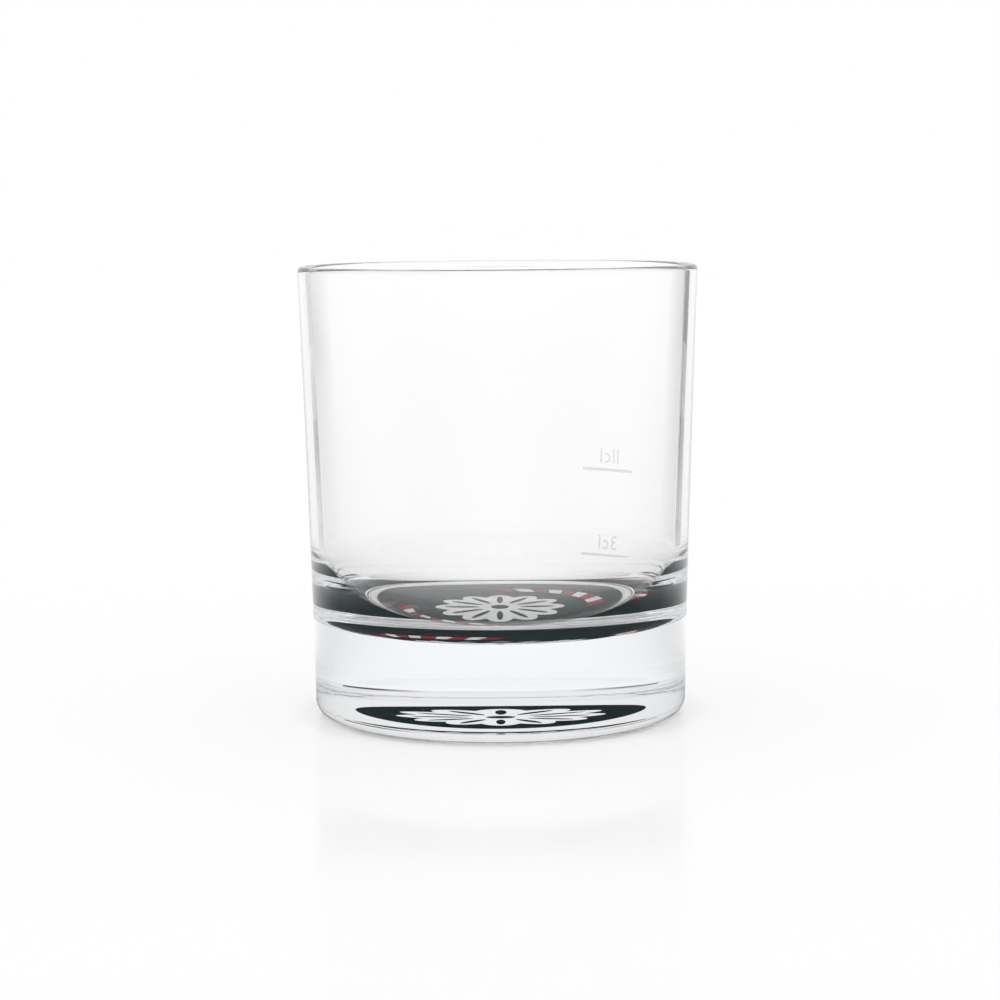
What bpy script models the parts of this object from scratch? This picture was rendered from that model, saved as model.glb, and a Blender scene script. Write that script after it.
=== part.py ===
"""Heavy-based tumbler glass with fired prints under its base and on its back wall.

Units are metres and +Z is up. The origin is on the glass's axis, in the plane it stands on.
The wall that carries the fill marks faces +Y, turned towards +X.
"""

import math

import bmesh
import bpy
from mathutils import Matrix, Vector

# Glass body
HEIGHT = 0.0924
RIM_DIAMETER = 0.0820
BASE_DIAMETER = 0.0767
WALL_HOLLOW = 0.0002       # how far the outer wall bows inwards at half height
RIM_WALL = 0.0021          # wall thickness at the rim
LOWER_WALL = 0.0027        # wall thickness at the top of the inner corner
BASE_THICKNESS = 0.0186    # from the table up to the inner floor
CORNER_WIDTH = 0.0110      # inner corner between wall and floor, a quarter ellipse
CORNER_HEIGHT = 0.0170
HEEL_RADIUS = 0.0030       # outer rounding between wall and underside
FOOT_RING_WIDTH = 0.0010   # flat ring that the glass stands on
RECESS_SLOPE = 0.0004      # width of the sloping edge inside the foot ring
RECESS_DEPTH = 0.0010      # underside's height above the table

# Ink films
INK_THICKNESS = 0.00012
INK_CLEARANCE = 0.00010    # between a film and what it is printed on
BORDER_MARGIN = 0.0003     # bare glass between the recess's edge and the border
BORDER_WIDTH = 0.0087
GROUND_GAP = 0.0003        # between the border and the ground disc
STRIPE_INSET = 0.0003      # ground left showing outside the striped band
STRIPE_WIDTH = 0.0044
STRIPE_SLANT = 0.0030      # how far a bar leans along the band
STRIPE_GAP = 0.0003        # between neighbouring bars
STRIPE_PITCH = math.radians(10)
BAND_BARS = 9              # bars of one striped band, which is part of a ring
BAND_BEARINGS = (math.radians(225), math.radians(45))   # middles of the bands, from +X towards +Y
ROSETTE_GAP = 0.0055       # ground left showing inside the striped band
PETAL_COUNT = 12
PETAL_NOTCH = 0.0030       # depth of the notch between two petals
VEIN_WIDTH = 0.0014        # slot along the middle of a petal
VEIN_INSET = 0.0022        # from a petal's tip to its vein
VEIN_ROOT = 0.0024         # from the rosette's eye to a vein
EYE_DIAMETER = 0.0040      # round hole in the middle of the rosette

# Fill marks
LOWER_FILL = 30e-6         # cubic metres of drink at the lower line
UPPER_FILL = 110e-6
CENTILITRE = 1e-5          # cubic metres
MARK_BEARING = math.radians(40.2)   # from the back of the glass, +Y, towards +X
LINE_LENGTH = 0.0146
LINE_HEIGHT = 0.0006
CHARACTER_HEIGHT = 0.0032
CHARACTER_GAP = 0.0008     # between neighbouring characters
CHARACTER_LIFT = 0.0012    # from the line up to the feet of the characters

# Fineness of the curves
TURN_STEPS = 72
WALL_POINTS = 7
CORNER_POINTS = 9
RIM_POINTS = 8
HEEL_POINTS = 5
MARK_STEPS = 6
CIRCLE_RESOLUTION = 16
CHARACTER_RESOLUTION = 2
PETAL_POINTS = 8
VEIN_POINTS = 10
SLICE = 0.00005            # height of a slice when the drink's volume is summed
WELD = 0.000001
ROUND_HANDLE = 4 / 3 * math.tan(math.pi / 8)   # Bezier handle of a quarter circle, per radius

# Sizes that follow
CORNER_TOP = BASE_THICKNESS + CORNER_HEIGHT
RIM_RADIUS = RIM_WALL / 2
WALL_TOP = HEIGHT - RIM_RADIUS


def outer_radius(z):
    """Radius of the outside of the wall at height z, a flared wall with a slight hollow."""
    share = z / WALL_TOP
    straight = (BASE_DIAMETER + (RIM_DIAMETER - BASE_DIAMETER) * share) / 2
    return straight - 4 * WALL_HOLLOW * share * (1 - share)


def outer_slope(z):
    """Change of the outside radius for each metre of height."""
    taper = (RIM_DIAMETER - BASE_DIAMETER) / 2 / WALL_TOP
    return taper - 4 * WALL_HOLLOW * (1 - 2 * z / WALL_TOP) / WALL_TOP


def wall_thickness(z):
    """Thickness of the wall above the inner corner."""
    share = (z - CORNER_TOP) / (WALL_TOP - CORNER_TOP)
    return LOWER_WALL + (RIM_WALL - LOWER_WALL) * share


def floor_radius():
    """Radius of the flat part of the inner floor."""
    return outer_radius(CORNER_TOP) - LOWER_WALL - CORNER_WIDTH


def inner_radius(z):
    """Radius of the drink's space at height z."""
    if z >= CORNER_TOP:
        return outer_radius(z) - wall_thickness(z)
    drop = (CORNER_TOP - z) / CORNER_HEIGHT
    return floor_radius() + CORNER_WIDTH * math.sqrt(max(0.0, 1 - drop * drop))


def foot_outer_radius():
    """Radius where the heel's rounding ends on the foot ring."""
    return outer_radius(HEEL_RADIUS) - HEEL_RADIUS


def recess_radius():
    """Radius of the flat underside within the foot ring."""
    return foot_outer_radius() - FOOT_RING_WIDTH - RECESS_SLOPE


def spread(start, end, count):
    """Evenly spaced values from start to end, without start."""
    return [start + (end - start) * step / count for step in range(1, count + 1)]


def glass_profile():
    """Half section of the glass, from the inner floor over the rim to the underside."""
    points = [(0.0, BASE_THICKNESS), (floor_radius(), BASE_THICKNESS)]
    for turn in spread(0.0, math.pi / 2, CORNER_POINTS):
        rise = CORNER_HEIGHT * (1 - math.cos(turn))
        points.append((floor_radius() + CORNER_WIDTH * math.sin(turn), BASE_THICKNESS + rise))
    for z in spread(CORNER_TOP, WALL_TOP, WALL_POINTS):
        points.append((inner_radius(z), z))
    rim_centre = outer_radius(WALL_TOP) - RIM_RADIUS
    for turn in spread(math.pi, 0.0, RIM_POINTS):
        points.append((rim_centre + RIM_RADIUS * math.cos(turn), WALL_TOP + RIM_RADIUS * math.sin(turn)))
    for z in spread(WALL_TOP, HEEL_RADIUS, WALL_POINTS):
        points.append((outer_radius(z), z))
    for turn in spread(0.0, math.pi / 2, HEEL_POINTS):
        out = foot_outer_radius() + HEEL_RADIUS * math.cos(turn)
        points.append((out, HEEL_RADIUS * (1 - math.sin(turn))))
    foot_inner = foot_outer_radius() - FOOT_RING_WIDTH
    points += [(foot_inner, 0.0), (recess_radius(), RECESS_DEPTH), (0.0, RECESS_DEPTH)]
    return points


def fill_height(volume):
    """Height of the surface of the given volume of drink."""
    z = BASE_THICKNESS
    filled = 0.0
    while filled < volume:
        filled += math.pi * inner_radius(z + SLICE / 2) ** 2 * SLICE
        z += SLICE
    return z


def principled(name, colour, roughness, transmission=0.0):
    """Material with one Principled BSDF."""
    material = bpy.data.materials.new(name)
    material.use_nodes = True
    shader = material.node_tree.nodes["Principled BSDF"]
    shader.inputs["Base Color"].default_value = (*colour, 1.0)
    shader.inputs["Roughness"].default_value = roughness
    shader.inputs["Metallic"].default_value = 0.0
    shader.inputs["Transmission Weight"].default_value = transmission
    return material


def add_object(name, data, material, collection):
    """Object in the collection with its own material."""
    part = bpy.data.objects.new(name, data)
    data.materials.append(material)
    collection.objects.link(part)
    return part


def edge_chain(name, points):
    """Mesh of points in the XZ plane joined by edges, to be turned about Z."""
    chain = bmesh.new()
    corners = [chain.verts.new((radius, 0.0, z)) for radius, z in points]
    for start, end in zip(corners, corners[1:]):
        chain.edges.new((start, end))
    mesh = bpy.data.meshes.new(name)
    chain.to_mesh(mesh)
    chain.free()
    return mesh


def add_screw(part, angle, steps, closed):
    """Screw modifier that turns the part's profile about Z."""
    screw = part.modifiers.new("turn", "SCREW")
    screw.axis = "Z"
    screw.angle = angle
    screw.steps = steps
    screw.render_steps = steps
    screw.use_merge_vertices = closed
    screw.merge_threshold = WELD
    screw.use_smooth_shade = True


def add_glass_body(collection):
    """The glass itself, turned from its half section."""
    glass = principled("clear_glass", (0.93, 0.97, 0.95), 0.0, transmission=1.0)
    mesh = edge_chain("glass_body", glass_profile())
    body = add_object("glass_body", mesh, glass, collection)
    add_screw(body, 2 * math.pi, TURN_STEPS, closed=True)


def add_circle(curve, radius):
    """Closed round Bezier outline in a flat curve."""
    spline = curve.splines.new("BEZIER")
    spline.bezier_points.add(3)
    for quarter, point in enumerate(spline.bezier_points):
        turn = quarter * math.pi / 2
        out = Vector((math.cos(turn), math.sin(turn), 0.0)) * radius
        along = Vector((-math.sin(turn), math.cos(turn), 0.0)) * radius * ROUND_HANDLE
        point.co = out
        point.handle_left = out - along
        point.handle_right = out + along
    spline.use_cyclic_u = True


def add_outline(curve, points):
    """Closed outline of straight stretches in a flat curve."""
    spline = curve.splines.new("POLY")
    spline.points.add(len(points) - 1)
    for point, (x, y) in zip(spline.points, points):
        point.co = (x, y, 0.0, 1.0)
    spline.use_cyclic_u = True


def flat_film(name, layer, material, collection):
    """Empty flat film under the base. Layer 0 lies against the glass and layer 1 below it."""
    curve = bpy.data.curves.new(name, "CURVE")
    curve.dimensions = "2D"
    curve.fill_mode = "BOTH"
    curve.resolution_u = CIRCLE_RESOLUTION
    curve.extrude = INK_THICKNESS / 2
    film = add_object(name, curve, material, collection)
    step = INK_THICKNESS + INK_CLEARANCE
    film.location.z = RECESS_DEPTH - INK_CLEARANCE - INK_THICKNESS / 2 - layer * step
    return curve


def border_radii():
    """Inner and outer radius of the border ring."""
    outer = recess_radius() - BORDER_MARGIN
    return outer - BORDER_WIDTH, outer


def stripe_radii():
    """Inner and outer radius of the striped band."""
    outer = border_radii()[0] - GROUND_GAP - STRIPE_INSET
    return outer - STRIPE_WIDTH, outer


def add_ground_and_border(black, collection):
    """Black ground disc and the dark ring round it."""
    inner, outer = border_radii()
    border = flat_film("base_print_border", 0, black, collection)
    add_circle(border, outer)
    add_circle(border, inner)
    ground = flat_film("base_print_ground", 1, black, collection)
    add_circle(ground, inner - GROUND_GAP)


def add_stripes(colours, collection):
    """Bands of slanted bars in alternating colours, each bar its own film."""
    inner, outer = stripe_radii()
    half = STRIPE_PITCH / 2 - STRIPE_GAP / (2 * inner)
    lean = STRIPE_SLANT / outer
    names = list(colours)
    counts = dict.fromkeys(names, 0)
    for bearing in BAND_BEARINGS:
        for index in range(BAND_BARS):
            colour = names[index % len(names)]
            counts[colour] += 1
            bar = flat_film(f"stripe_{colour}_{counts[colour]:02d}", 0, colours[colour], collection)
            middle = bearing + (index - (BAND_BARS - 1) / 2) * STRIPE_PITCH
            near = [(inner, middle + side * half - lean / 2) for side in (-1, 0, 1)]
            far = [(outer, middle + side * half + lean / 2) for side in (1, 0, -1)]
            add_outline(bar, [(r * math.cos(a), r * math.sin(a)) for r, a in near + far])


def rosette_radius():
    """Radius at the tips of the rosette's petals."""
    return stripe_radii()[0] - ROSETTE_GAP


def add_rosette(white, collection):
    """White rosette of round-tipped petals, each with a slot along its middle."""
    rosette = flat_film("base_print_rosette", 0, white, collection)
    tip = rosette_radius()
    outline = []
    for step in range(PETAL_COUNT * PETAL_POINTS):
        turn = 2 * math.pi * step / (PETAL_COUNT * PETAL_POINTS)
        notch = PETAL_NOTCH * (1 - abs(math.cos(PETAL_COUNT * turn / 2)))
        outline.append(((tip - notch) * math.cos(turn), (tip - notch) * math.sin(turn)))
    add_outline(rosette, outline)
    add_circle(rosette, EYE_DIAMETER / 2)
    vein_start = EYE_DIAMETER / 2 + VEIN_ROOT
    vein_end = tip - VEIN_INSET
    for petal in range(PETAL_COUNT):
        turn = Matrix.Rotation(2 * math.pi * petal / PETAL_COUNT, 2)
        vein = []
        for step in range(VEIN_POINTS):
            swing = 2 * math.pi * step / VEIN_POINTS
            along = (vein_start + vein_end) / 2 + (vein_end - vein_start) / 2 * math.cos(swing)
            across = VEIN_WIDTH / 2 * math.sin(swing)
            vein.append(tuple(turn @ Vector((along, across))))
        add_outline(rosette, vein)


def add_fill_line(name, z, ink, collection):
    """Curved line film on the outside of the wall, its top edge at height z."""
    edge = [(outer_radius(h) + INK_CLEARANCE, h) for h in (z, z - LINE_HEIGHT)]
    line = add_object(name, edge_chain(name, edge), ink, collection)
    angle = LINE_LENGTH / outer_radius(z)
    add_screw(line, angle, MARK_STEPS, closed=False)
    shell = line.modifiers.new("thickness", "SOLIDIFY")
    shell.thickness = INK_THICKNESS
    shell.offset = 1.0
    line.rotation_euler.z = math.pi / 2 - MARK_BEARING - angle / 2


def character_mesh(name, character, size):
    """Flat solid character, centred across, standing on its base line."""
    text = bpy.data.curves.new(name, "FONT")
    text.body = character
    text.size = size
    text.align_x = "CENTER"
    text.resolution_u = CHARACTER_RESOLUTION
    text.extrude = INK_THICKNESS / 2
    holder = bpy.data.objects.new(name, text)
    bpy.context.scene.collection.objects.link(holder)
    evaluated = holder.evaluated_get(bpy.context.evaluated_depsgraph_get())
    mesh = bpy.data.meshes.new_from_object(evaluated)
    bpy.data.objects.remove(holder)
    solid = bmesh.new()
    solid.from_mesh(mesh)
    bmesh.ops.remove_doubles(solid, verts=solid.verts, dist=WELD)
    solid.to_mesh(mesh)
    solid.free()
    mesh.materials.clear()
    return mesh


def wall_frame(bearing, z):
    """Matrix that stands a flat film on the wall, readable from outside."""
    outward = Vector((math.sin(bearing), math.cos(bearing), 0.0))
    tilt = math.atan(outer_slope(z))
    right = Vector((-math.cos(bearing), math.sin(bearing), 0.0))
    normal = outward * math.cos(tilt) - Vector((0.0, 0.0, math.sin(tilt)))
    upward = normal.cross(right)
    place = outward * outer_radius(z) + Vector((0.0, 0.0, z))
    place += normal * (INK_CLEARANCE + INK_THICKNESS / 2)
    frame = Matrix((right, upward, normal)).transposed().to_4x4()
    frame.translation = place
    return frame


def character_size():
    """Text size at which a figure is CHARACTER_HEIGHT tall."""
    sample = character_mesh("sample", "0", 1.0)
    drawn_height = max(vertex.co.y for vertex in sample.vertices)
    bpy.data.meshes.remove(sample)
    return CHARACTER_HEIGHT / drawn_height


def width_across(mesh):
    """Size of a flat mesh along its X axis."""
    places = [vertex.co.x for vertex in mesh.vertices]
    return max(places) - min(places)


def add_fill_label(prefix, volume, z, ink, collection):
    """Number and unit of a fill mark, side by side above its line."""
    label = f"{volume / CENTILITRE:.0f}cl"
    size = character_size()
    feet = z + CHARACTER_LIFT
    names = [f"{prefix}_label_{place}" for place in range(1, len(label) + 1)]
    meshes = [character_mesh(name, character, size) for name, character in zip(names, label)]
    widths = [width_across(mesh) for mesh in meshes]
    start = -(sum(widths) + CHARACTER_GAP * (len(label) - 1)) / 2
    for name, mesh, width in zip(names, meshes, widths):
        part = add_object(name, mesh, ink, collection)
        bearing = MARK_BEARING - (start + width / 2) / outer_radius(feet)
        part.matrix_world = wall_frame(bearing, feet)
        start += width + CHARACTER_GAP


def main():
    """Clear the scene and build the tumbler."""
    for old in list(bpy.data.objects):
        bpy.data.objects.remove(old)
    tumbler = bpy.data.collections.new("tumbler_glass")
    bpy.context.scene.collection.children.link(tumbler)
    black = principled("black_ink", (0.006, 0.013, 0.014), 0.35)
    white = principled("white_ink", (0.86, 0.86, 0.83), 0.4)
    red = principled("red_ink", (0.46, 0.07, 0.08), 0.4)
    grey = principled("mark_ink", (0.78, 0.79, 0.80), 0.5)
    add_glass_body(tumbler)
    add_ground_and_border(black, tumbler)
    add_stripes({"red": red, "white": white}, tumbler)
    add_rosette(white, tumbler)
    for prefix, volume in (("lower_fill", LOWER_FILL), ("upper_fill", UPPER_FILL)):
        z = fill_height(volume)
        add_fill_line(f"{prefix}_line", z, grey, tumbler)
        add_fill_label(prefix, volume, z, grey, tumbler)


if __name__ == "__main__":
    main()
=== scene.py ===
"""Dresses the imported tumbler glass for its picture: clear glass, fired prints and a white stage.

Units are metres and +Z is up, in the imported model's own frame. The glass's axis is the Z axis,
it stands on z = 0, and the picture is taken from -Y.
"""

import math

import bmesh
import bpy
from bpy.props import FloatProperty, FloatVectorProperty, IntProperty, PointerProperty
from mathutils import Matrix, Vector


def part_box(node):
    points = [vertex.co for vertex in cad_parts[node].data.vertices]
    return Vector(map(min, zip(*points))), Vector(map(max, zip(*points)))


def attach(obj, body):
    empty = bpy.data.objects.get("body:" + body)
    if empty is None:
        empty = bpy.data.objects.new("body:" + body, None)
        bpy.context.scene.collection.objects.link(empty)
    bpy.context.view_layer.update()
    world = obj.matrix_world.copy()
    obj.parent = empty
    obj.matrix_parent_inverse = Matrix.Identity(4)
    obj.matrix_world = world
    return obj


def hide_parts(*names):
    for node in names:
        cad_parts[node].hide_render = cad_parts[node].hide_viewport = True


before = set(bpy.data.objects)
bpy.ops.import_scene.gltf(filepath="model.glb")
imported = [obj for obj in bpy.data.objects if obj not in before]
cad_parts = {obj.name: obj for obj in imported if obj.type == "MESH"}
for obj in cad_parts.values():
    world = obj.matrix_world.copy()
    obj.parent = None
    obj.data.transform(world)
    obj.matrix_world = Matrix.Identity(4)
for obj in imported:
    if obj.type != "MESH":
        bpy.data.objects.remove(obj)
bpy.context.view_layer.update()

bl_info = {
    "name": "Tumbler Glass",
    "version": (1, 0, 0),
    "blender": (4, 5, 0),
    "location": "View3D > Sidebar > Tumbler",
    "description": "Dresses a packed tumbler glass with clear glass, fired prints and a white stage",
    "category": "Object",
}

GLASS_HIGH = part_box("glass_body")[1]
GROUND_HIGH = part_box("base_print_ground")[1]
BORDER_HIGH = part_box("base_print_border")[1]
ROSETTE_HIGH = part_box("base_print_rosette")[1]
LINE_NAMES = sorted(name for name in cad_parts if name.endswith("_fill_line"))
LABEL_CHARACTERS = {"lower_fill_label": "3cl", "upper_fill_label": "11cl"}

# Fineness of the curves
TURN_STEPS = 288
WALL_POINTS = 72
CORNER_POINTS = 48
RIM_POINTS = 24
HEEL_POINTS = 16
PRINT_STEPS = 240
PETAL_POINTS = 24
EYE_STEPS = 60
VEIN_POINTS = 28
BAR_STEPS = 8
LINE_STEPS = 24
CHARACTER_STEPS = 6
FLAG_STEPS = 16
WELD = 1e-7
SHARP = math.radians(25)
SEAM_RING = 0.00025      # close ring that keeps a flat face or the wall even beside a rounding
BONDED_INDEX = 1         # place of the bonded surface among the glass's materials

# Grain of the surfaces: noise as scale and detail, the part of its range that is used, and what it gives
NOISE_RANGE = (0.3, 0.7)
POLISH_NOISE = (90.0, 3.0)
POLISH_ROUGHNESS = (0.0, 0.012)
CLOUD_NOISE = (700.0, 4.0)
CLOUD_STOPS = (0.35, 0.60)
SATIN_NOISE = (1500.0, 2.0)
SATIN_ROUGHNESS = (0.35, 0.60)
SCREEN_NOISE = (5000.0, 2.0)
SCREEN_STRENGTH = 0.15
SCREEN_DEPTH = 0.00002
# How bright each ink is in its thinner patches, as a share of its colour
THIN_SHARES = {"black_ink": 0.7, "white_ink": 0.88, "red_ink": 0.8, "mark_ink": 0.85}

# Floor, lens and light paths of the picture
FLOOR_DROP = 0.00002     # from the foot ring down to the floor
FLOOR_ROUGHNESS = 0.12
FLOOR_REFRACTION = 1.35
DIAGONAL_PEAK = 0.25     # what the diagonal pattern reaches on the diagonals themselves
# Painted shade: rays that the glass mirrors see the floor's colour darkened in front of the glass
MIRROR_DARK = 0.25       # cosine from +Y up to which the floor is painted dark where the glass mirrors it
MIRROR_LIGHT = 0.75      # cosine from +Y past which the painted dark is gone and it mirrors as white
FRAME_WIDTH = 36.0       # of the camera, in millimetres
CLIP_START = 0.01
MAX_BOUNCES = 96
TRANSMISSION_BOUNCES = 48
GLOSSY_BOUNCES = 64

# Glowing grey flags behind the glass: painted shade that only rays through the glass see, and that draws
# the dark lines along its walls. Each lies flat on the floor and then stands upright: side, directions of
# its inner and outer edge in degrees away from +Y, and its grey by share along it. Shades are seen through
# both walls, strips through one wall that mirrors them.
FLAGS = {
    "right_shade": (1.0, 11.0, 40.0, ((0.0, 0.6), (0.1, 0.4), (0.3, 0.2), (0.42, 0.1), (0.92, 0.0))),
    "left_shade": (-1.0, 10.0, 40.0, ((0.0, 0.75), (0.1, 0.6), (0.25, 0.4), (0.42, 0.1), (0.92, 0.5))),
    "right_strip": (1.0, 30.0, 40.0, ((0.0, 0.5), (0.03, 0.2), (0.11, 0.02), (0.3, 0.0))),
    "left_strip": (-1.0, 31.0, 40.0, ((0.0, 0.7), (0.03, 0.45), (0.11, 0.05), (0.2, 0.3), (0.28, 0.6))),
}
# How fast a flag turns solid across its width, and the depth of the light's path that hides it
SHADE_LOOK = (2.2, "Glossy Depth", 1.0)
STRIP_LOOK = (20.0, "Transmission Depth", 3.0)
FLAG_NEAR = 0.20         # distance where a flag starts on the floor
FLAG_FAR = 0.80          # distance where it stands up
FLAG_SIDE = 0.038        # how far to the side of the axis its directions start
FLAG_LIFT = 0.0005       # height of its flat part above z = 0
FLAG_FOOT = 0.3          # share of a flag that lies on the floor, as its greys are placed


def length(name, description, default):
    """Property for a length in metres."""
    return FloatProperty(
        name=name, description=description, default=default, precision=5, subtype="DISTANCE", unit="LENGTH"
    )


def angle(name, description, degrees):
    """Property for an angle, given in degrees."""
    return FloatProperty(
        name=name, description=description, default=math.radians(degrees), subtype="ANGLE", unit="ROTATION"
    )


def share(name, description, default):
    """Property for a share of one."""
    return FloatProperty(name=name, description=description, default=default, min=0.0, max=1.0)


def colour(name, description, default):
    """Property for a colour."""
    return FloatVectorProperty(
        name=name, description=description, default=default, min=0.0, max=1.0, size=3, subtype="COLOR"
    )


class TumblerBody(bpy.types.PropertyGroup):
    """Sizes and tint of the glass itself."""

    height: length("Height", "From the table to the top of the rim", GLASS_HIGH.z)
    rim_diameter: length("Rim diameter", "Across the outside of the rim", 2 * GLASS_HIGH.x)
    base_diameter: length("Base diameter", "Across the outside of the wall, carried to the table", 0.0767)
    wall_hollow: length("Wall hollow", "How far the outer wall bows inwards at half height", 0.0002)
    rim_wall: length("Rim wall", "Wall thickness at the rim", 0.0021)
    lower_wall: length("Lower wall", "Wall thickness at the top of the inner corner", 0.0027)
    base_thickness: length("Base thickness", "From the table up to the inner floor", 0.0186)
    corner_width: length("Corner width", "Inner corner, along the floor", 0.0110)
    corner_height: length("Corner height", "Inner corner, up the wall", 0.0170)
    heel_radius: length("Heel radius", "Rounding between the wall and the underside", 0.0030)
    foot_ring_width: length("Foot ring width", "Flat ring that the glass stands on", 0.0010)
    recess_slope: length("Recess slope", "Width of the sloping edge inside the foot ring", 0.0004)
    recess_depth: length("Recess depth", "Height of the underside above the table", 0.0010)
    tint: colour("Tint", "White light after a long way through the glass", (0.880, 0.915, 0.955))
    tint_density: FloatProperty(
        name="Tint density", description="How quickly the tint builds up with depth", default=4.0, min=0.0
    )
    refraction: FloatProperty(
        name="Refraction", description="Refractive index of the glass", default=1.52, min=1.0, max=2.0
    )
    bond_refraction: FloatProperty(
        name="Bond refraction",
        description="Refractive index of the glass against the binder of the border's ink",
        default=1.14,
        min=1.0,
        max=2.0,
    )


class TumblerPrint(bpy.types.PropertyGroup):
    """Sizes and colours of the print under the base."""

    ink_depth: length("Ink depth", "How far the ground is fused into the glass", 0.000015)
    ink_film: length("Ink film", "Thickness of a film of ink", 0.000045)
    ink_gap: length("Ink gap", "Between the glass and the inks that aren't fused into it", 0.00005)
    backing_gap: length("Backing gap", "From the glass down to the black backing", 0.00010)
    overlap: length("Overlap", "How far the rosette reaches under the black round it", 0.0003)
    stripe_inset: length("Stripe inset", "Ground left showing beside the striped bands", 0.0003)
    stripe_width: length("Stripe width", "Width of the striped bands", 0.0044)
    stripe_slant: length("Stripe slant", "How far a bar leans along its band", 0.0030)
    stripe_gap: length("Stripe gap", "Ground between neighbouring bars", 0.0003)
    stripe_pitch: angle("Stripe pitch", "From one bar to the next", 10.0)
    band_bars: IntProperty(name="Band bars", description="Bars of one striped band", default=9, min=1)
    band_bearing: angle("Band bearing", "Middle of the first band, from +X towards +Y", 225.0)
    petal_count: IntProperty(name="Petals", description="Petals of the rosette", default=12, min=3)
    petal_notch: length("Petal notch", "Depth of the notch between two petals", 0.0030)
    vein_width: length("Vein width", "Black stroke along the middle of a petal", 0.0014)
    vein_inset: length("Vein inset", "From a petal's tip to its vein", 0.0022)
    vein_root: length("Vein root", "From the rosette's eye to a vein", 0.0024)
    eye_diameter: length("Eye diameter", "Black spot in the middle of the rosette", 0.0040)
    black: colour("Black ink", "Ground and border", (0.015, 0.032, 0.035))
    white: colour("White ink", "Rosette and light bars", (0.93, 0.93, 0.90))
    red: colour("Red ink", "Red bars", (0.38, 0.03, 0.035))


class TumblerMarks(bpy.types.PropertyGroup):
    """Sizes and colour of the fill marks on the back wall."""

    gap: length("Mark gap", "Air between the wall and a mark", 0.00003)
    film: length("Mark film", "Thickness of a mark", 0.00006)
    grey: colour("Mark ink", "Fill lines and their numbers", (0.80, 0.81, 0.82))
    cover: share("Mark cover", "How much of what lies behind the thin mark it hides", 0.2)


class TumblerStage(bpy.types.PropertyGroup):
    """Camera, floor and light of the picture."""

    camera_distance: length("Camera distance", "From the glass's axis to the lens", 0.550)
    camera_side: length("Camera side", "How far the lens stands to the right of the axis", 0.00018)
    camera_height: length("Camera height", "Of the lens above the table", 0.10557)
    camera_pitch: angle("Camera pitch", "How far the camera looks down", 6.41)
    camera_roll: angle("Camera roll", "How far the camera leans over", -0.45)
    focal_length: FloatProperty(
        name="Focal length", description="In millimetres on a 36 mm frame", default=96.16, min=1.0
    )
    floor_size: length("Floor size", "Half the side of the floor", 3.0)
    floor_share: share("Floor share", "How much of the floor's white needs no light on it", 0.5)
    contact_radius: length("Contact radius", "Within it, the floor shows only the light on it", 0.036)
    contact_fade: length("Contact fade", "Width over which the floor's own white sets in", 0.008)
    # Painted shade: darkens the floor's colour on its diagonals, only for rays seen through the glass
    corner_shade: share("Corner shade", "How much darker the glass shows the floor's diagonals", 0.20)
    sky_shade: share("Sky shade", "How much darker the surroundings are, seen through the glass", 0.12)
    print_light: share("Print light", "How much light is added to what reaches inks through the glass", 0.6)
    # Painted shade: up to this distance the floor's colour is darkened for rays the glass mirrors
    front_reach: length("Front reach", "How far out the glass mirrors the floor round it as dark", 0.8)
    # Painted shade: the flags glow in greys, and only rays through the glass see them
    flag_height: length("Flag height", "Of the dark flags that draw lines along the wall", 0.065)


def corner_top(body):
    """Height where the inner corner runs into the wall."""
    return body.base_thickness + body.corner_height


def wall_top(body):
    """Height where the wall runs into the rim's rounding."""
    return body.height - body.rim_wall / 2


def outer_radius(body, z):
    """Radius of the outside of the wall at height z, a flared wall with a slight hollow."""
    way_up = z / wall_top(body)
    straight = (body.base_diameter + (body.rim_diameter - body.base_diameter) * way_up) / 2
    return straight - 4 * body.wall_hollow * way_up * (1 - way_up)


def wall_thickness(body, z):
    """Thickness of the wall above the inner corner."""
    way_up = (z - corner_top(body)) / (wall_top(body) - corner_top(body))
    return body.lower_wall + (body.rim_wall - body.lower_wall) * way_up


def inner_radius(body, z):
    """Radius of the inside of the wall at height z, above the inner corner."""
    return outer_radius(body, z) - wall_thickness(body, z)


def floor_radius(body):
    """Radius of the flat part of the inner floor."""
    return outer_radius(body, corner_top(body)) - body.lower_wall - body.corner_width


def foot_outer_radius(body):
    """Radius where the heel's rounding ends on the foot ring."""
    return outer_radius(body, body.heel_radius) - body.heel_radius


def spread(start, end, count):
    """Evenly spaced values from start to end, without start."""
    return [start + (end - start) * step / count for step in range(1, count + 1)]


def stripe_radii(ink):
    """Inner and outer radius of the striped bands."""
    outer = GROUND_HIGH.x - ink.stripe_inset
    return outer - ink.stripe_width, outer


def fused_radius(ink):
    """Radius of the part of the ground that is fused into the glass, inside the striped bands."""
    return stripe_radii(ink)[0] - ink.stripe_inset


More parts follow.
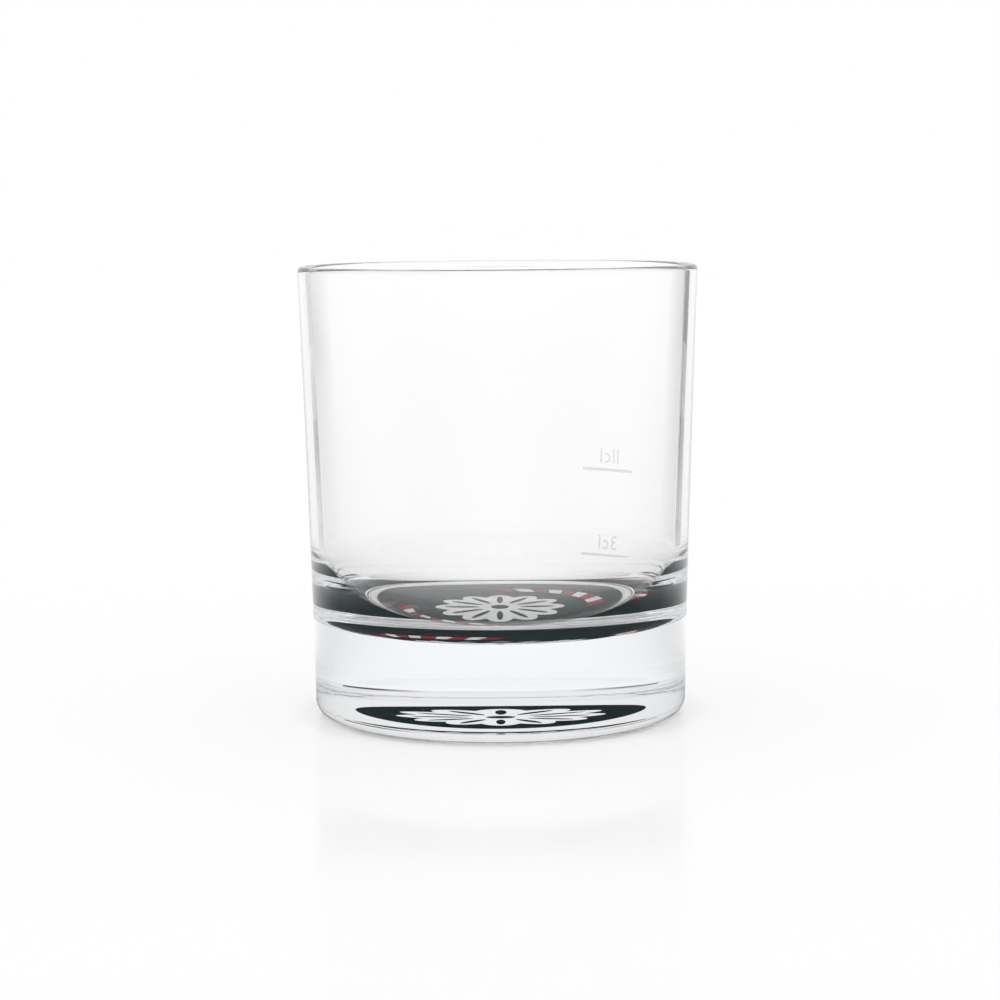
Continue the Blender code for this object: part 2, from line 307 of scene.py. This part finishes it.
def glass_section(body, ink):
    """Half section of the glass, from the inner floor over the rim to the underside."""
    floor, edge = body.base_thickness, floor_radius(body)
    points = [(0.0, floor), (edge / 2, floor), (edge - SEAM_RING, floor), (edge, floor)]
    top = corner_top(body)
    lean = (inner_radius(body, top + SEAM_RING) - inner_radius(body, top)) / SEAM_RING
    for turn in spread(0.0, math.pi / 2, CORNER_POINTS):
        rise = body.corner_height * (1 - math.cos(turn))
        out = (body.corner_width - lean * body.corner_height) * math.sin(turn) + lean * rise
        points.append((edge + out, floor + rise))
    below_rim, over_heel = wall_top(body) - SEAM_RING, body.heel_radius + SEAM_RING
    for z in (*spread(top, below_rim, WALL_POINTS), wall_top(body)):
        points.append((inner_radius(body, z), z))
    rim_radius = body.rim_wall / 2
    rim_centre = outer_radius(body, wall_top(body)) - rim_radius
    for turn in spread(math.pi, 0.0, RIM_POINTS):
        out = rim_centre + rim_radius * math.cos(turn)
        points.append((out, wall_top(body) + rim_radius * math.sin(turn)))
    for z in (below_rim, *spread(below_rim, over_heel, WALL_POINTS), body.heel_radius):
        points.append((outer_radius(body, z), z))
    for turn in spread(0.0, math.pi / 2, HEEL_POINTS):
        out = foot_outer_radius(body) + body.heel_radius * math.cos(turn)
        points.append((out, body.heel_radius * (1 - math.sin(turn))))
    foot_inner = foot_outer_radius(body) - body.foot_ring_width
    recess = foot_inner - body.recess_slope
    points += [(foot_outer_radius(body) - SEAM_RING, 0.0), (foot_inner, 0.0)]
    points += [(radius, body.recess_depth) for radius in (recess, BORDER_HIGH.x, fused_radius(ink), 0.0)]
    return points


def linked_object(name, shape, material):
    """Object of a finished shape, linked to the scene."""
    mesh = bpy.data.meshes.new(name)
    shape.to_mesh(mesh)
    shape.free()
    mesh.materials.append(material)
    piece = bpy.data.objects.new(name, mesh)
    bpy.context.scene.collection.objects.link(piece)
    return piece


def new_piece(name, shape, material, slot, *nodes):
    """Object of a finished shape that rides on the glass and stands for the given nodes."""
    piece = linked_object(name, shape, material)
    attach(piece, "root")
    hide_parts(*nodes)
    return piece


def thicken(shape, depth):
    """Turn flat faces that look up into a closed film reaching down by depth."""
    bmesh.ops.recalc_face_normals(shape, faces=shape.faces)
    top = shape.faces[:]
    grown = bmesh.ops.extrude_face_region(shape, geom=top, use_keep_orig=True)
    moved = [part for part in grown["geom"] if isinstance(part, bmesh.types.BMVert)]
    bmesh.ops.translate(shape, verts=moved, vec=(0.0, 0.0, -depth))
    bmesh.ops.recalc_face_normals(shape, faces=shape.faces)


def new_material(name):
    """Empty material, with its node tree and Principled shader."""
    material = bpy.data.materials.new(name)
    material.use_nodes = True
    tree = material.node_tree
    return material, tree, tree.nodes["Principled BSDF"]


def noise(tree, grain):
    """Noise of a given scale and detail on the piece's own coordinates."""
    scale, detail = grain
    place = tree.nodes.new("ShaderNodeTexCoord")
    cloud = tree.nodes.new("ShaderNodeTexNoise")
    cloud.inputs["Scale"].default_value = scale
    cloud.inputs["Detail"].default_value = detail
    tree.links.new(place.outputs["Object"], cloud.inputs["Vector"])
    return cloud.outputs["Fac"]


def ranged(tree, value, limits):
    """A noise value spread between two limits."""
    spread_node = tree.nodes.new("ShaderNodeMapRange")
    for socket, number in zip(("From Min", "From Max", "To Min", "To Max"), (*NOISE_RANGE, *limits)):
        spread_node.inputs[socket].default_value = number
    tree.links.new(value, spread_node.inputs["Value"])
    return spread_node.outputs["Result"]


def bumped(tree, shader, height, strength, depth):
    """Surface relief from a height pattern."""
    bump = tree.nodes.new("ShaderNodeBump")
    bump.inputs["Strength"].default_value = strength
    bump.inputs["Distance"].default_value = depth
    tree.links.new(height, bump.inputs["Height"])
    tree.links.new(bump.outputs["Normal"], shader.inputs["Normal"])


def glass_surface(name, refraction):
    """Glass surface with a polish that varies very slightly from place to place."""
    material, tree, shader = new_material(name)
    shader.inputs["Base Color"].default_value = (1.0, 1.0, 1.0, 1.0)
    shader.inputs["IOR"].default_value = refraction
    shader.inputs["Transmission Weight"].default_value = 1.0
    polish = ranged(tree, noise(tree, POLISH_NOISE), POLISH_ROUGHNESS)
    tree.links.new(polish, shader.inputs["Roughness"])
    return material, tree


def clear_glass(body):
    """Clear glass with a tint that builds up with depth."""
    material, tree = glass_surface("polished_glass", body.refraction)
    absorption = tree.nodes.new("ShaderNodeVolumeAbsorption")
    absorption.inputs["Color"].default_value = (*body.tint, 1.0)
    absorption.inputs["Density"].default_value = body.tint_density
    tree.links.new(absorption.outputs["Volume"], tree.nodes["Material Output"].inputs["Volume"])
    return material


def fired_ink(name, shade, thin_share):
    """Opaque fired ink: a soft cloud of two close tones and a fine screen grain."""
    material, tree, shader = new_material(name)
    tones = tree.nodes.new("ShaderNodeValToRGB")
    thin = [part * thin_share for part in shade]
    for stop, position, tone in zip(tones.color_ramp.elements, CLOUD_STOPS, (thin, shade)):
        stop.position = position
        stop.color = (*tone, 1.0)
    tree.links.new(noise(tree, CLOUD_NOISE), tones.inputs["Fac"])
    tree.links.new(tones.outputs["Color"], shader.inputs["Base Color"])
    satin = ranged(tree, noise(tree, SATIN_NOISE), SATIN_ROUGHNESS)
    tree.links.new(satin, shader.inputs["Roughness"])
    shader.inputs["Specular IOR Level"].default_value = 0.0
    bumped(tree, shader, noise(tree, SCREEN_NOISE), SCREEN_STRENGTH, SCREEN_DEPTH)
    return material


def ink_material(name, shade):
    """The named ink, made once and kept apart from the frame's own material of that name."""
    own_name = f"fired_{name}"
    return bpy.data.materials.get(own_name) or fired_ink(own_name, shade, THIN_SHARES[name])


class AddGlassBody(bpy.types.Operator):
    """Turn the glass from its half section"""

    bl_idname = "tumbler.add_glass_body"
    bl_label = "Glass body"

    def execute(self, context):
        body, ink = context.scene.tumbler_body, context.scene.tumbler_print
        shape = bmesh.new()
        section = [shape.verts.new((radius, 0.0, z)) for radius, z in glass_section(body, ink)]
        for start, end in zip(section, section[1:]):
            shape.edges.new((start, end))
        bmesh.ops.spin(
            shape,
            geom=shape.verts[:] + shape.edges[:],
            cent=(0.0, 0.0, 0.0),
            axis=(0.0, 0.0, 1.0),
            angle=2 * math.pi,
            steps=TURN_STEPS,
            use_merge=True,
        )
        bmesh.ops.remove_doubles(shape, verts=shape.verts, dist=WELD)
        bmesh.ops.recalc_face_normals(shape, faces=shape.faces)
        for face in shape.faces:
            middle = face.calc_center_median()
            over_ink = fused_radius(ink) < middle.xy.length < BORDER_HIGH.x
            if over_ink and abs(middle.z - body.recess_depth) < WELD:
                face.material_index = BONDED_INDEX
        piece = new_piece("tumbler_glass", shape, clear_glass(body), "clear_glass", "glass_body")
        piece.data.materials.append(glass_surface("bonded_glass", body.bond_refraction)[0])
        piece.data.shade_smooth()
        piece.data.set_sharp_from_angle(angle=SHARP)
        return {"FINISHED"}


def level(z):
    """Matrix that lifts a flat shape to height z."""
    return Matrix.Translation((0.0, 0.0, z))


def add_petal_outline(shape, ink, tip, z):
    """Closed outline of the rosette, with its petals' tips at the given radius."""
    segments = ink.petal_count * PETAL_POINTS
    outline = bmesh.ops.create_circle(shape, segments=segments, radius=1.0)
    for corner in outline["verts"]:
        turn = math.atan2(corner.co.y, corner.co.x)
        notch = ink.petal_notch * (1 - abs(math.cos(ink.petal_count * turn / 2)))
        corner.co = corner.co * (tip - notch)
        corner.co.z = z


class AddGroundAndBorder(bpy.types.Operator):
    """Black ground, fused into the base round the rosette and backing the stripes, and the border"""

    bl_idname = "tumbler.add_ground_and_border"
    bl_label = "Ground and border"

    def execute(self, context):
        body, ink = context.scene.tumbler_body, context.scene.tumbler_print
        black = ink_material("black_ink", ink.black)
        fused = body.recess_depth + ink.ink_depth
        ground = bmesh.new()
        add_petal_outline(ground, ink, ROSETTE_HIGH.x, fused)
        bmesh.ops.create_circle(
            ground, segments=PRINT_STEPS, radius=fused_radius(ink), matrix=level(fused)
        )
        bmesh.ops.triangle_fill(ground, edges=ground.edges[:], use_beauty=True)
        self.add_strokes(ground, ink, fused)
        bmesh.ops.create_circle(
            ground,
            cap_ends=True,
            segments=PRINT_STEPS,
            radius=GROUND_HIGH.x,
            matrix=level(body.recess_depth - ink.backing_gap),
        )
        thicken(ground, ink.ink_film)
        new_piece("print_ground", ground, black, "black_ink", "base_print_ground")
        border = bmesh.new()
        bonded = body.recess_depth - ink.ink_gap
        for radius in (GROUND_HIGH.x, BORDER_HIGH.x):
            bmesh.ops.create_circle(border, segments=PRINT_STEPS, radius=radius, matrix=level(bonded))
        bmesh.ops.bridge_loops(border, edges=border.edges[:])
        thicken(border, ink.ink_film)
        new_piece("print_border", border, black, "black_ink", "base_print_border")
        return {"FINISHED"}

    def add_strokes(self, shape, ink, z):
        """Black eye in the middle of the rosette and a stroke along each petal."""
        eye = ink.eye_diameter / 2
        bmesh.ops.create_circle(
            shape, cap_ends=True, segments=EYE_STEPS, radius=eye, matrix=level(z)
        )
        start, end = eye + ink.vein_root, ROSETTE_HIGH.x - ink.vein_inset
        stroke = Matrix.Translation(((start + end) / 2, 0.0, z))
        stroke @= Matrix.Diagonal(((end - start) / 2, ink.vein_width / 2, 1.0, 1.0))
        for petal in range(ink.petal_count):
            turned = Matrix.Rotation(2 * math.pi * petal / ink.petal_count, 4, "Z")
            bmesh.ops.create_circle(
                shape, cap_ends=True, segments=VEIN_POINTS, radius=1.0, matrix=turned @ stroke
            )


class AddStripes(bpy.types.Operator):
    """Bands of slanted bars in alternating colours, each bar its own film"""

    bl_idname = "tumbler.add_stripes"
    bl_label = "Striped bands"

    def execute(self, context):
        body, ink = context.scene.tumbler_body, context.scene.tumbler_print
        inks = {"red": ink_material("red_ink", ink.red), "white": ink_material("white_ink", ink.white)}
        counts = dict.fromkeys(inks, 0)
        for bearing in (ink.band_bearing, ink.band_bearing + math.pi):
            for index in range(ink.band_bars):
                tone = ("red", "white")[index % 2]
                counts[tone] += 1
                node = f"stripe_{tone}_{counts[tone]:02d}"
                middle = bearing + (index - (ink.band_bars - 1) / 2) * ink.stripe_pitch
                bar = self.slanted_bar(ink, middle, body.recess_depth - ink.ink_gap)
                new_piece(f"print_{node}", bar, inks[tone], f"{tone}_ink", node)
        return {"FINISHED"}

    def slanted_bar(self, ink, middle, top):
        """Film of one bar, its middle at the given bearing from +X towards +Y."""
        inner, outer = stripe_radii(ink)
        sweep = ink.stripe_pitch - ink.stripe_gap / inner
        lean = ink.stripe_slant / outer
        bar = bmesh.new()
        bmesh.ops.create_grid(bar, x_segments=BAR_STEPS, y_segments=BAR_STEPS, size=0.5)
        for corner in bar.verts:
            along, out = corner.co.x, corner.co.y
            radius = (inner + outer) / 2 + ink.stripe_width * out
            turn = middle + sweep * along + lean * out
            corner.co = (radius * math.cos(turn), radius * math.sin(turn), top)
        thicken(bar, ink.ink_film)
        return bar


class AddRosette(bpy.types.Operator):
    """White rosette of round-tipped petals, seen through the opening in the ground"""

    bl_idname = "tumbler.add_rosette"
    bl_label = "Rosette"

    def execute(self, context):
        body, ink = context.scene.tumbler_body, context.scene.tumbler_print
        shape = bmesh.new()
        tip = ROSETTE_HIGH.x + ink.overlap
        add_petal_outline(shape, ink, tip, body.recess_depth - ink.ink_gap)
        bmesh.ops.triangle_fill(shape, edges=shape.edges[:], use_beauty=True)
        thicken(shape, ink.ink_film)
        white = ink_material("white_ink", ink.white)
        new_piece("print_rosette", shape, white, "white_ink", "base_print_rosette")
        return {"FINISHED"}


def wall_point(body, bearing, z, out):
    """Point on the outside of the wall, moved outwards by out. Bearing is from +Y towards +X."""
    radius = outer_radius(body, z) + out
    return Vector((radius * math.sin(bearing), radius * math.cos(bearing), z))


def bearing_of(x, y):
    """Direction of a point seen from the axis, from +Y towards +X."""
    return math.atan2(x, y)


def flat_character(character, depth):
    """Closed flat shape of a character, standing on its base line."""
    text = bpy.data.curves.new("character", "FONT")
    text.body = character
    text.size = 1.0
    text.extrude = depth / 2
    text.resolution_u = CHARACTER_STEPS
    holder = bpy.data.objects.new("character", text)
    bpy.context.scene.collection.objects.link(holder)
    evaluated = holder.evaluated_get(bpy.context.evaluated_depsgraph_get())
    mesh = bpy.data.meshes.new_from_object(evaluated)
    bpy.data.objects.remove(holder)
    shape = bmesh.new()
    shape.from_mesh(mesh)
    bpy.data.meshes.remove(mesh)
    bmesh.ops.remove_doubles(shape, verts=shape.verts, dist=WELD)
    return shape


def middle_and_size(values):
    """Middle of a run of numbers, and its length."""
    low, high = min(values), max(values)
    return (low + high) / 2, high - low


class AddFillMarks(bpy.types.Operator):
    """Fill lines on the back wall, with their numbers and unit"""

    bl_idname = "tumbler.add_fill_marks"
    bl_label = "Fill marks"

    def execute(self, context):
        body, marks = context.scene.tumbler_body, context.scene.tumbler_marks
        ink = ink_material("mark_ink", marks.grey)
        ink.node_tree.nodes["Principled BSDF"].inputs["Alpha"].default_value = marks.cover
        for node in LINE_NAMES:
            self.add_line(body, marks, ink, node)
        for prefix, characters in LABEL_CHARACTERS.items():
            for place, character in enumerate(characters, start=1):
                self.add_character(body, marks, ink, f"{prefix}_{place}", character)
        return {"FINISHED"}

    def add_line(self, body, marks, ink, node):
        """Curved line film that follows the wall where its node is."""
        low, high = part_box(node)
        start, end = bearing_of(low.x, high.y), bearing_of(high.x, low.y)
        shape = bmesh.new()
        bmesh.ops.create_grid(shape, x_segments=LINE_STEPS, y_segments=1, size=0.5)
        for corner in shape.verts:
            bearing = start + (end - start) * (corner.co.x + 0.5)
            z = low.z + (high.z - low.z) * (corner.co.y + 0.5)
            corner.co = wall_point(body, bearing, z, marks.gap + marks.film)
        bmesh.ops.recalc_face_normals(shape, faces=shape.faces)
        bmesh.ops.solidify(shape, geom=shape.faces[:], thickness=marks.film)
        bmesh.ops.recalc_face_normals(shape, faces=shape.faces)
        new_piece(f"mark_{node}", shape, ink, "mark_ink", node)

    def add_character(self, body, marks, ink, node, character):
        """One character, laid on the curve of the wall where its node is, readable from outside."""
        low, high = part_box(node)
        centre = bearing_of((low.x + high.x) / 2, (low.y + high.y) / 2)
        shape = flat_character(character, marks.film)
        across = middle_and_size([corner.co.x for corner in shape.verts])[0]
        up, height = middle_and_size([corner.co.y for corner in shape.verts])
        scale = (high.z - low.z) / height
        lift = marks.gap + marks.film / 2
        for corner in shape.verts:
            z = (low.z + high.z) / 2 + (corner.co.y - up) * scale
            bearing = centre - (corner.co.x - across) * scale / outer_radius(body, z)
            corner.co = wall_point(body, bearing, z, lift + corner.co.z)
        bmesh.ops.recalc_face_normals(shape, faces=shape.faces)
        new_piece(f"mark_{node}", shape, ink, "mark_ink", node)


def new_stage_piece(name, shape, material):
    """Object of a finished shape for the stage, linked to the scene."""
    piece = linked_object(name, shape, material)
    return piece


def show_only(piece, ray):
    """Leave a piece of the stage visible to one kind of ray."""
    for kind in ("camera", "diffuse", "glossy", "transmission", "volume_scatter", "shadow"):
        setattr(piece, f"visible_{kind}", kind == ray)


def calculated(tree, operation, first, second, clamp=False):
    """Result of a sum on two values, each a number or another node's output."""
    node = tree.nodes.new("ShaderNodeMath")
    node.operation = operation
    node.use_clamp = clamp
    for socket, value in zip(node.inputs, (first, second)):
        if isinstance(value, float):
            socket.default_value = value
        else:
            tree.links.new(value, socket)
    return node.outputs["Value"]


def floor_material(stage):
    """White floor with a soft shadow, and painted shade where the glass shows its diagonals or mirrors it
    close by.
    """
    material, tree, shader = new_material("white_floor")
    path = tree.nodes.new("ShaderNodeLightPath").outputs
    place = tree.nodes.new("ShaderNodeTexCoord").outputs["Object"]
    along = tree.nodes.new("ShaderNodeSeparateXYZ")
    tree.links.new(place, along.inputs["Vector"])
    square = tree.nodes.new("ShaderNodeVectorMath")
    square.operation = "DOT_PRODUCT"
    for socket in square.inputs[:2]:
        tree.links.new(place, socket)
    # Painted shade: the floor's colour is made darker on its diagonals, only for rays through the glass
    product = calculated(tree, "MULTIPLY", along.outputs["X"], along.outputs["Y"])
    slant = calculated(tree, "DIVIDE", product, square.outputs["Value"])
    diagonal = calculated(tree, "MULTIPLY", slant, slant)
    shown = calculated(tree, "MULTIPLY", diagonal, path["Is Transmission Ray"])
    shade = calculated(tree, "MULTIPLY", shown, stage.corner_shade / DIAGONAL_PEAK)
    away = calculated(tree, "SQRT", square.outputs["Value"], 0.0)
    # Painted shade: for rays the glass mirrors, the floor's colour is darkened in front of and close to the
    # glass, a painted dark reflection
    behind = calculated(tree, "DIVIDE", along.outputs["Y"], away)
    short_of = calculated(tree, "SUBTRACT", MIRROR_LIGHT, behind)
    facing = calculated(tree, "DIVIDE", short_of, MIRROR_LIGHT - MIRROR_DARK, clamp=True)
    fade = calculated(tree, "DIVIDE", away, -stage.front_reach)
    near = calculated(tree, "ADD", fade, 1.0, clamp=True)
    mirrored = calculated(tree, "SUBTRACT", path["Is Glossy Ray"], path["Is Transmission Ray"], clamp=True)
    painted_mirror_shade = calculated(tree, "MULTIPLY", calculated(tree, "MULTIPLY", facing, near), mirrored)
    # The floor's colour and its glow both carry the two painted shades
    tone = calculated(tree, "SUBTRACT", calculated(tree, "SUBTRACT", 1.0, shade), painted_mirror_shade)
    tree.links.new(tone, shader.inputs["Base Color"])
    shader.inputs["Roughness"].default_value = FLOOR_ROUGHNESS
    shader.inputs["IOR"].default_value = FLOOR_REFRACTION
    glow = tree.nodes.new("ShaderNodeEmission")
    tree.links.new(tone, glow.inputs["Color"])
    seen = calculated(tree, "ADD", path["Is Camera Ray"], path["Is Glossy Ray"])
    seen = calculated(tree, "ADD", seen, path["Is Transmission Ray"], clamp=True)
    blend = tree.nodes.new("ShaderNodeMixShader")
    past_foot = calculated(tree, "SUBTRACT", away, stage.contact_radius)
    in_open = calculated(tree, "DIVIDE", past_foot, stage.contact_fade, clamp=True)
    own_white = calculated(tree, "MULTIPLY", calculated(tree, "MULTIPLY", seen, in_open), stage.floor_share)
    tree.links.new(own_white, blend.inputs["Fac"])
    tree.links.new(shader.outputs["BSDF"], blend.inputs[1])
    tree.links.new(glow.outputs["Emission"], blend.inputs[2])
    tree.links.new(blend.outputs["Shader"], tree.nodes["Material Output"].inputs["Surface"])
    return material


def flag_row(corner):
    """Which row of a flag's grid a corner is in: near edge, fold or top."""
    return round(corner.co.y * 2) + 1


def flag_material(name, greys):
    """Glowing grey that changes along a flag, painted shade that needs no light, clear at its inner edge
    and on other paths.
    """
    rise, depth, limit = SHADE_LOOK if name.endswith("shade") else STRIP_LOOK
    material, tree, shader = new_material(name)
    path = tree.nodes.new("ShaderNodeLightPath").outputs
    place = tree.nodes.new("ShaderNodeTexCoord").outputs["UV"]
    along = tree.nodes.new("ShaderNodeSeparateXYZ")
    tree.links.new(place, along.inputs["Vector"])
    tones = tree.nodes.new("ShaderNodeValToRGB")
    stops = tones.color_ramp.elements
    stops[1].position = greys[-1][0]
    for position, _ in greys[1:-1]:
        stops.new(position)
    for stop, (position, grey) in zip(stops, greys):
        stop.position = position
        stop.color = (grey, grey, grey, 1.0)
    tree.links.new(along.outputs["Y"], tones.inputs["Fac"])
    solid = calculated(tree, "MULTIPLY", along.outputs["X"], rise, clamp=True)
    shown = calculated(tree, "SUBTRACT", limit, path[depth], clamp=True)
    tree.links.new(calculated(tree, "MULTIPLY", solid, shown), shader.inputs["Alpha"])
    shader.inputs["Base Color"].default_value = (0.0, 0.0, 0.0, 1.0)
    shader.inputs["IOR"].default_value = 1.0
    # Painted shade: the flag glows in its greys instead of being lit
    tree.links.new(tones.outputs["Color"], shader.inputs["Emission Color"])
    shader.inputs["Emission Strength"].default_value = 1.0
    return material


class AddStage(bpy.types.Operator):
    """White floor, soft light and the camera of the picture"""

    bl_idname = "tumbler.add_stage"
    bl_label = "Stage"

    def execute(self, context):
        stage = context.scene.tumbler_stage
        self.add_floor(stage)
        for name, (side, inner, outer, greys) in FLAGS.items():
            self.add_flag(stage, name, side, math.radians(inner), math.radians(outer), greys)
        self.add_world(context, stage)
        self.add_camera(context, stage)
        context.scene.view_settings.view_transform = "Standard"
        context.scene.cycles.max_bounces = MAX_BOUNCES
        context.scene.cycles.transmission_bounces = TRANSMISSION_BOUNCES
        context.scene.cycles.glossy_bounces = GLOSSY_BOUNCES
        return {"FINISHED"}

    def add_floor(self, stage):
        """White floor just under the foot ring."""
        shape = bmesh.new()
        bmesh.ops.create_grid(
            shape, x_segments=1, y_segments=1, size=stage.floor_size, matrix=level(-FLOOR_DROP)
        )
        new_stage_piece("floor", shape, floor_material(stage))

    def add_flag(self, stage, name, side, inner, outer, greys):
        """Glowing dark flag, painted shade that only shows through the glass, along its wall."""
        shape = bmesh.new()
        bmesh.ops.create_grid(shape, x_segments=FLAG_STEPS, y_segments=2, size=0.5, calc_uvs=False)
        layer = shape.loops.layers.uv.new("place")
        for face in shape.faces:
            for loop in face.loops:
                along = (0.0, FLAG_FOOT, 1.0)[flag_row(loop.vert)]
                loop[layer].uv = (loop.vert.co.x + 0.5, along)
        for corner in shape.verts:
            turned = Matrix.Rotation(-(inner + (outer - inner) * (corner.co.x + 0.5)), 4, "Z")
            row = flag_row(corner)
            away = (FLAG_NEAR, FLAG_FAR, FLAG_FAR)[row]
            z = (FLAG_LIFT, FLAG_LIFT, stage.flag_height)[row]
            place = turned @ Vector((FLAG_SIDE, away, z))
            corner.co = (side * place.x, place.y, place.z)
        flag = new_stage_piece(name, shape, flag_material(name, greys))
        show_only(flag, "transmission")

    def add_world(self, context, stage):
        """Even white surroundings, a little darker through the glass and stronger on the inks under it."""
        world = bpy.data.worlds.new("white_room")
        world.use_nodes = True
        tree = world.node_tree
        background = tree.nodes["Background"]
        background.inputs["Color"].default_value = (1.0, 1.0, 1.0, 1.0)
        path = tree.nodes.new("ShaderNodeLightPath").outputs
        lit = calculated(tree, "MINIMUM", path["Diffuse Depth"], 1.0)
        change = calculated(tree, "MULTIPLY", lit, stage.print_light + stage.sky_shade)
        change = calculated(tree, "SUBTRACT", change, stage.sky_shade)
        change = calculated(tree, "MULTIPLY", change, path["Is Transmission Ray"])
        tree.links.new(calculated(tree, "ADD", change, 1.0), background.inputs["Strength"])
        context.scene.world = world

    def add_camera(self, context, stage):
        """Camera at the photograph's viewing angle."""
        lens = bpy.data.cameras.new("camera")
        lens.sensor_width = FRAME_WIDTH
        lens.lens = stage.focal_length
        lens.clip_start = CLIP_START
        camera = bpy.data.objects.new("camera", lens)
        place = Matrix.Translation((stage.camera_side, -stage.camera_distance, stage.camera_height))
        pitch = Matrix.Rotation(math.pi / 2 - stage.camera_pitch, 4, "X")
        roll = Matrix.Rotation(stage.camera_roll, 4, "Z")
        camera.matrix_world = place @ pitch @ roll
        context.scene.collection.objects.link(camera)
        context.scene.camera = camera


class TumblerPanel(bpy.types.Panel):
    """Lists the tumbler's sizes and the operators that build it"""

    bl_idname = "VIEW3D_PT_tumbler"
    bl_label = "Tumbler Glass"
    bl_space_type = "VIEW_3D"
    bl_region_type = "UI"
    bl_category = "Tumbler"

    def draw(self, context):
        for name, group in PROPERTY_GROUPS.items():
            box = self.layout.box()
            settings = getattr(context.scene, name)
            for prop in group.__annotations__:
                box.prop(settings, prop)
        for operator in OPERATORS:
            self.layout.operator(operator.bl_idname)


PROPERTY_GROUPS = {
    "tumbler_body": TumblerBody,
    "tumbler_print": TumblerPrint,
    "tumbler_marks": TumblerMarks,
    "tumbler_stage": TumblerStage,
}
OPERATORS = (AddGlassBody, AddGroundAndBorder, AddStripes, AddRosette, AddFillMarks, AddStage)


def register():
    """Register the classes and hang the property groups on the scene."""
    for group in (*PROPERTY_GROUPS.values(), *OPERATORS, TumblerPanel):
        bpy.utils.register_class(group)
    for name, group in PROPERTY_GROUPS.items():
        setattr(bpy.types.Scene, name, PointerProperty(type=group))


def unregister():
    """Undo register."""
    for name in PROPERTY_GROUPS:
        delattr(bpy.types.Scene, name)
    for group in reversed((*PROPERTY_GROUPS.values(), *OPERATORS, TumblerPanel)):
        bpy.utils.unregister_class(group)


def main():
    """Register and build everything."""
    register()
    bpy.ops.tumbler.add_glass_body()
    bpy.ops.tumbler.add_ground_and_border()
    bpy.ops.tumbler.add_stripes()
    bpy.ops.tumbler.add_rosette()
    bpy.ops.tumbler.add_fill_marks()
    bpy.ops.tumbler.add_stage()


if __name__ == "__main__":
    main()
